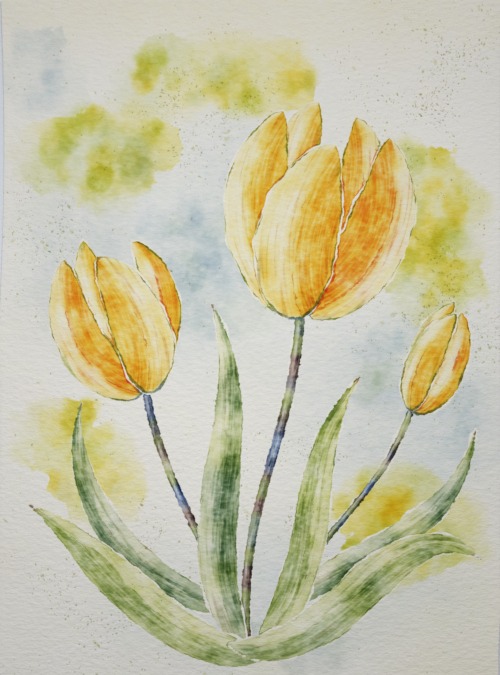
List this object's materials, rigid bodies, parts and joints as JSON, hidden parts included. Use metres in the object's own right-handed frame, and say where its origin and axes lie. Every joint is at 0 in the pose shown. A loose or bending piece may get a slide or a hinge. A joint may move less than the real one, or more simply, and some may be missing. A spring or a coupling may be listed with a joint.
{
  "type": "watercolour painting on paper",
  "caption": "Sheet of cold-pressed watercolour paper with a loose painted flower motif, lying face up with gently lifted edges.",
  "frame": {"origin": "middle of the sheet, on the plane that its flat middle rests on", "axes": "+Z out of the painted face, +Y to the top edge of the picture, +X to its right edge"},
  "size_m": [0.2794, 0.381, 0.0042],
  "materials": {
    "watercolour_paper": "matt cold-pressed tooth, with transparent watercolour washes on the upper face"
  },
  "bodies": {
    "root": {"paper_sheet": "watercolour_paper"}
  },
  "joints": []
}
